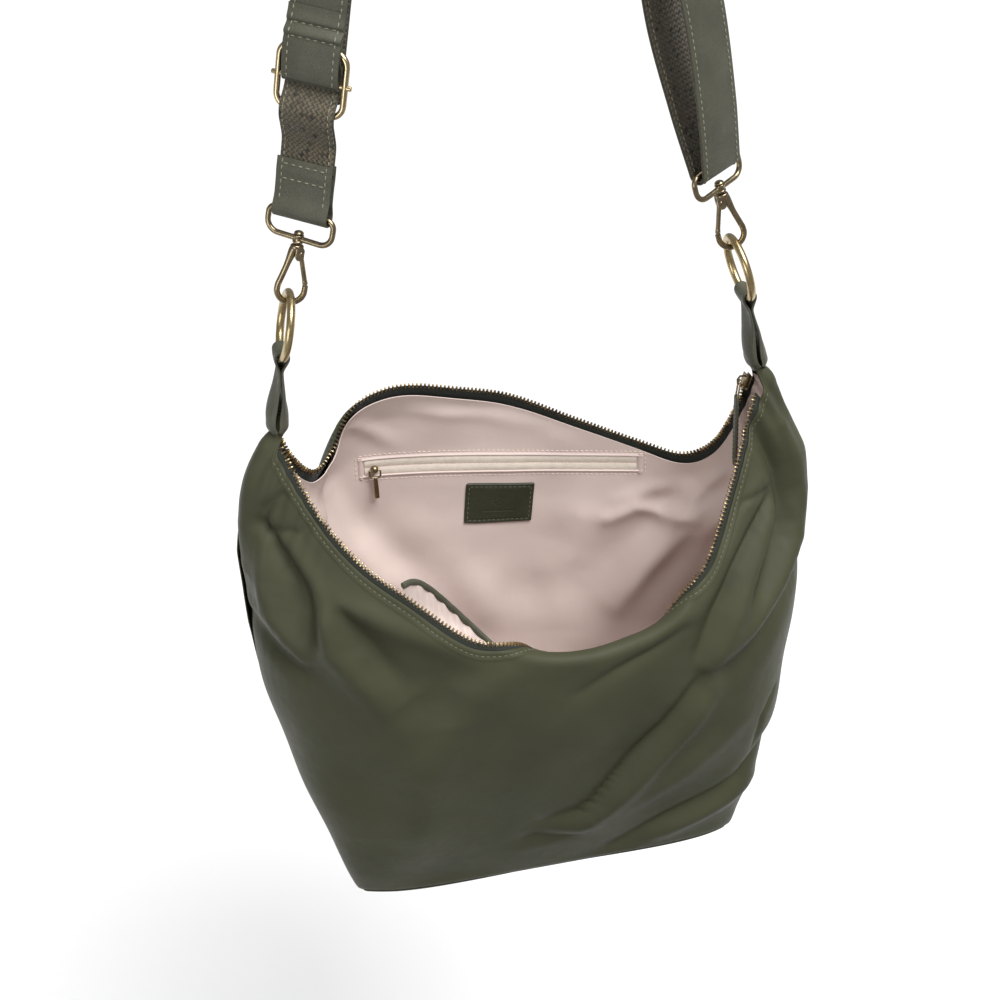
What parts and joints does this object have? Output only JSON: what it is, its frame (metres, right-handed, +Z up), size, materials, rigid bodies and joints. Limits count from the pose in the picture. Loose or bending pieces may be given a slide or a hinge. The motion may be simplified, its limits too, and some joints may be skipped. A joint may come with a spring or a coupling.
{
  "type": "slouchy hobo crossbody bag",
  "caption": "Slouchy hobo crossbody bag with a long curved top zip, satin lining with pockets, a wide adjustable strap, and swivel hooks on O-rings.",
  "frame": {"origin": "the point under the top of the strap's arch where the bag hangs", "axes": "+Z up along the hanging bag, +X to the right of someone facing the front, -Y the bag's front"},
  "size_m": [0.382, 0.1638, 0.8341],
  "materials": {
    "olive_nylon": "smooth, faint sheen",
    "olive_leather": "fine grain, satin",
    "olive_webbing": "coarse woven, matt",
    "blush_lining": "satin weave",
    "zip_tape": "woven, matt",
    "pocket_zip_tape": "woven, matt",
    "dark_brass": "dark plated",
    "antique_brass": "antique plated",
    "satin_brass": "satin plated"
  },
  "bodies": {
    "strap": {"strap_webbing": "olive_webbing", "strap_leather": "olive_leather", "strap_outer_stretch": "olive_leather", "left_strap_tab": "olive_leather"},
    "adjuster": {"adjuster_frame": "antique_brass", "adjuster_bar": "antique_brass", "strap_loop_end": "olive_leather"},
    "left_loop": {"left_d_loop": "antique_brass"},
    "right_loop": {"right_d_loop": "antique_brass"},
    "left_hook": {"left_swivel_post": "antique_brass", "left_hook": "antique_brass", "left_gate_rivet": "antique_brass", "left_gate_spring": "antique_brass"},
    "right_hook": {"right_swivel_post": "antique_brass", "right_hook": "antique_brass", "right_gate_rivet": "antique_brass", "right_gate_spring": "antique_brass"},
    "left_gate": {"left_gate": "antique_brass"},
    "right_gate": {"right_gate": "antique_brass"},
    "bag": {"bag_front": "olive_nylon", "bag_back": "olive_nylon", "bag_base": "olive_nylon", "lining_front": "blush_lining", "lining_back": "blush_lining", "lining_base": "blush_lining", "zip_tape_front": "zip_tape", "zip_tape_back": "zip_tape", "zip_teeth_front": "dark_brass", "zip_teeth_back": "dark_brass", "zip_stop_left": "dark_brass", "zip_stop_right": "dark_brass", "left_end_tab": "olive_leather", "right_end_tab": "olive_leather", "pocket_bag": "blush_lining", "pocket_tape_upper": "pocket_zip_tape", "pocket_tape_lower": "pocket_zip_tape", "pocket_coil": "pocket_zip_tape", "leather_patch": "olive_leather", "slip_pocket": "blush_lining", "slip_pocket_binding": "olive_leather"},
    "left_ring": {"left_ring": "satin_brass"},
    "right_ring": {"right_ring": "satin_brass"},
    "main_slider": {"main_slider": "antique_brass"},
    "main_link": {"main_puller_link": "antique_brass"},
    "main_puller": {"main_puller": "olive_leather"},
    "pocket_slider": {"pocket_slider": "antique_brass"},
    "pocket_puller": {"pocket_puller": "antique_brass"}
  },
  "joints": [
    {"name": "adjuster_slide", "type": "slide", "parent": "strap", "child": "adjuster", "axis": [0.1908, 0, 0.9816], "range_m": [-0.015, 0.028], "deforming": ["strap_outer_stretch"]},
    {"name": "left_loop_swing", "type": "hinge", "parent": "strap", "child": "left_loop", "pos_m": [-0.1275, 0, -0.3245], "axis": [1, 0, 0], "range_deg": [-7, 4]},
    {"name": "right_loop_swing", "type": "hinge", "parent": "strap", "child": "right_loop", "pos_m": [0.1275, 0, -0.3245], "axis": [1, 0, 0], "range_deg": [-7, 4]},
    {"name": "left_hook_swivel", "type": "hinge", "parent": "left_loop", "child": "left_hook", "pos_m": [-0.13137, 0, -0.34003], "axis": [0.2419, 0, 0.9703], "range_deg": [-15, 15]},
    {"name": "right_hook_swivel", "type": "hinge", "parent": "right_loop", "child": "right_hook", "pos_m": [0.13137, 0, -0.34003], "axis": [-0.2419, 0, 0.9703], "range_deg": [-15, 15]},
    {"name": "left_gate_open", "type": "hinge", "parent": "left_hook", "child": "left_gate", "pos_m": [-0.13093, 0, -0.349], "axis": [0, 1, 0], "range_deg": [0, 25], "stiffness_Nm_per_rad": 0.004, "springref_deg": -17.19, "deforming": ["left_gate_spring"]},
    {"name": "right_gate_open", "type": "hinge", "parent": "right_hook", "child": "right_gate", "pos_m": [0.13093, 0, -0.349], "axis": [0, -1, 0], "range_deg": [0, 25], "stiffness_Nm_per_rad": 0.004, "springref_deg": -17.19, "deforming": ["right_gate_spring"]},
    {"name": "bag_swing", "type": "hinge", "parent": "left_loop", "child": "bag", "pos_m": [-0.14129, 0, -0.37981], "axis": [1, 0, 0], "range_deg": [-15, 15]},
    {"name": "left_ring_turn", "type": "hinge", "parent": "bag", "child": "left_ring", "pos_m": [-0.14502, 0, -0.39475], "axis": [0.9703, 0, -0.2419], "continuous": true},
    {"name": "right_ring_turn", "type": "hinge", "parent": "bag", "child": "right_ring", "pos_m": [0.14502, 0, -0.39475], "axis": [0.9703, 0, 0.2419], "continuous": true},
    {"name": "main_slider_slide", "type": "slide", "parent": "bag", "child": "main_slider", "axis": [0.3162, 0, 0.9487], "range_m": [0, 0.003]},
    {"name": "main_link_swing", "type": "hinge", "parent": "main_slider", "child": "main_link", "pos_m": [0.14733, 0, -0.47461], "axis": [0, 1, 0], "range_deg": [-4, 30]},
    {"name": "main_puller_swing", "type": "hinge", "parent": "main_link", "child": "main_puller", "pos_m": [0.14543, 0, -0.48808], "axis": [0, 1, 0], "range_deg": [-12, 25]},
    {"name": "pocket_slider_slide", "type": "slide", "parent": "bag", "child": "pocket_slider", "axis": [0.9929, -0.058, -0.1043], "range_m": [0, 0.172]},
    {"name": "pocket_puller_swing", "type": "hinge", "parent": "pocket_slider", "child": "pocket_puller", "pos_m": [-0.09269, 0.05857, -0.53633], "axis": [1, 0, 0], "range_deg": [-50, 4]}
  ],
  "couplings": [
    {"joint": "right_loop_swing", "follows": "left_loop_swing", "ratio": 1}
  ]
}
